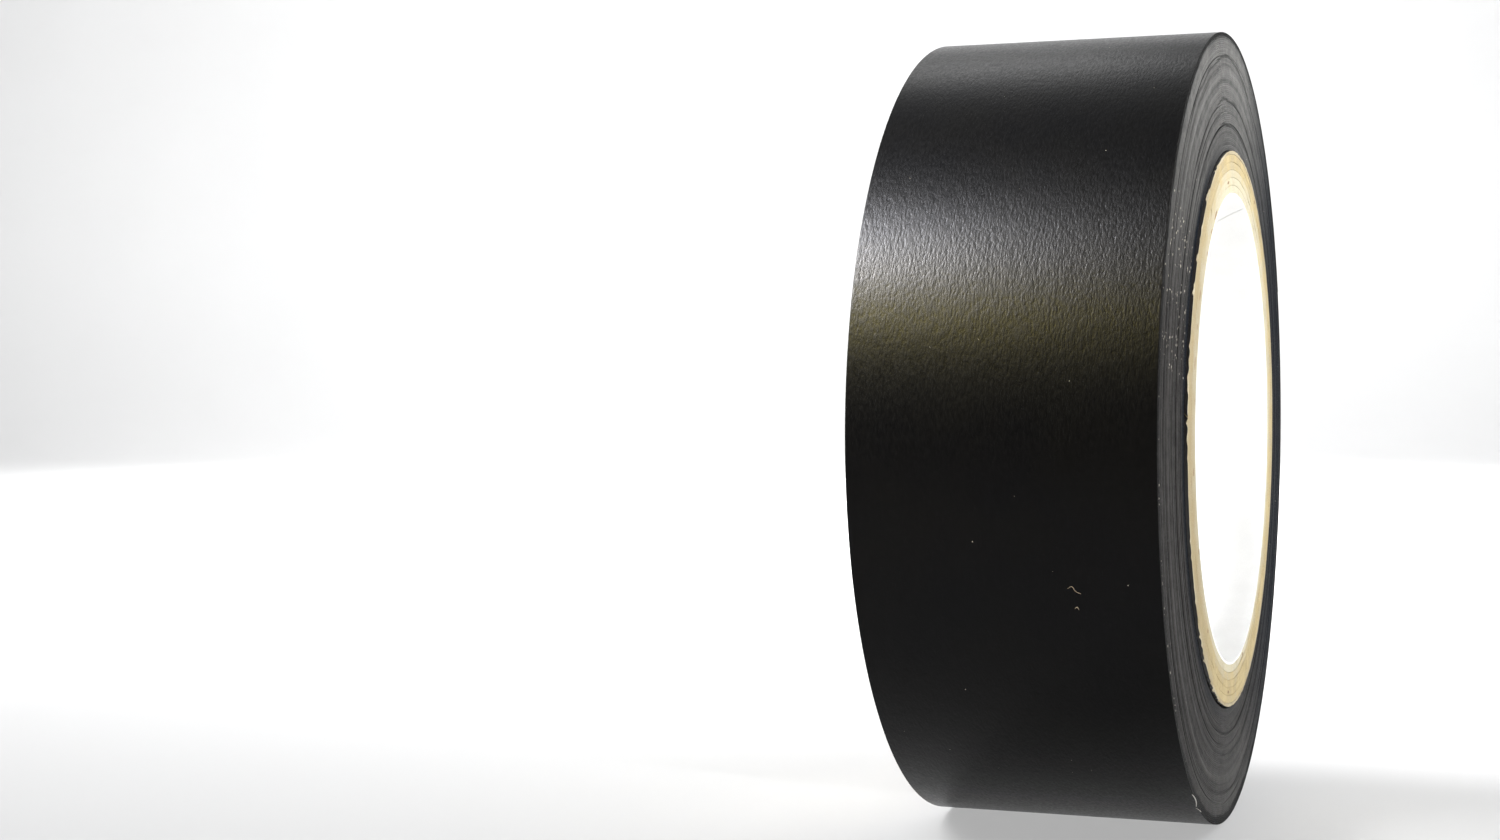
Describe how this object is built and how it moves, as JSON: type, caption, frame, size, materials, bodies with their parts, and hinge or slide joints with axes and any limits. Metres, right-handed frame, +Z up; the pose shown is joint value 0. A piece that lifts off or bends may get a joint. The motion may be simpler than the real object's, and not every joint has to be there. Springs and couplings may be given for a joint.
{
  "type": "electrical tape roll",
  "caption": "Roll of black vinyl electrical tape wound on a paperboard core, standing on its rim, with a free end that peels off the back and straightens.",
  "frame": {"origin": "lowest point of the rim, halfway along the width, on the surface that the roll stands on", "axes": "+X along the roll's axis, out of the end face that the picture shows; +Z up; -Y is the front, and the free end of the tape lies over the back"},
  "size_m": [0.0198, 0.0538, 0.0538],
  "materials": {
    "vinyl_film": "black calendered PVC film, satin, with a fine grain",
    "adhesive": "black rubber-resin adhesive, tacky and glossy",
    "wound_edge": "black tape, wound: satin outer face, slit edges as fine concentric lines",
    "liner_paper": "smooth white paper",
    "core_board": "kraft board with a cut, slightly fibrous end",
    "core_outer_paper": "pale kraft paper"
  },
  "bodies": {
    "roll": {"core_liner": "liner_paper", "core_board_ply_1": "core_board", "core_board_ply_2": "core_board", "core_board_ply_3": "core_board", "core_board_ply_4": "core_board", "core_board_ply_5": "core_board", "core_outer_ply": "core_outer_paper", "wound_tape": "wound_edge"},
    "tape_end_1": {"tape_end_film_1": "vinyl_film", "tape_end_adhesive_1": "adhesive"},
    "tape_end_2": {"tape_end_film_2": "vinyl_film", "tape_end_adhesive_2": "adhesive"},
    "tape_end_3": {"tape_end_film_3": "vinyl_film", "tape_end_adhesive_3": "adhesive"},
    "tape_end_4": {"tape_end_film_4": "vinyl_film", "tape_end_adhesive_4": "adhesive"},
    "tape_end_5": {"tape_end_film_5": "vinyl_film", "tape_end_adhesive_5": "adhesive"},
    "tape_end_6": {"tape_end_film_6": "vinyl_film", "tape_end_adhesive_6": "adhesive"}
  },
  "joints": [
    {"name": "end_peel", "type": "hinge", "parent": "roll", "child": "tape_end_1", "pos_m": [0, 0.00352, 0.05363], "axis": [1, 0, 0], "range_deg": [0, 90]},
    {"name": "end_uncurl_2", "type": "hinge", "parent": "tape_end_1", "child": "tape_end_2", "pos_m": [0, 0.00811, 0.05262], "axis": [1, 0, 0], "range_deg": [0, 10]},
    {"name": "end_uncurl_3", "type": "hinge", "parent": "tape_end_2", "child": "tape_end_3", "pos_m": [0, 0.01246, 0.05082], "axis": [1, 0, 0], "range_deg": [0, 10]},
    {"name": "end_uncurl_4", "type": "hinge", "parent": "tape_end_3", "child": "tape_end_4", "pos_m": [0, 0.01643, 0.0483], "axis": [1, 0, 0], "range_deg": [0, 10]},
    {"name": "end_uncurl_5", "type": "hinge", "parent": "tape_end_4", "child": "tape_end_5", "pos_m": [0, 0.0199, 0.04512], "axis": [1, 0, 0], "range_deg": [0, 10]},
    {"name": "end_uncurl_6", "type": "hinge", "parent": "tape_end_5", "child": "tape_end_6", "pos_m": [0, 0.02277, 0.04139], "axis": [1, 0, 0], "range_deg": [0, 10]}
  ],
  "couplings": [
    {"joint": "end_uncurl_2", "follows": "end_peel", "ratio": 0.111},
    {"joint": "end_uncurl_3", "follows": "end_peel", "ratio": 0.111},
    {"joint": "end_uncurl_4", "follows": "end_peel", "ratio": 0.111},
    {"joint": "end_uncurl_5", "follows": "end_peel", "ratio": 0.111},
    {"joint": "end_uncurl_6", "follows": "end_peel", "ratio": 0.111}
  ]
}
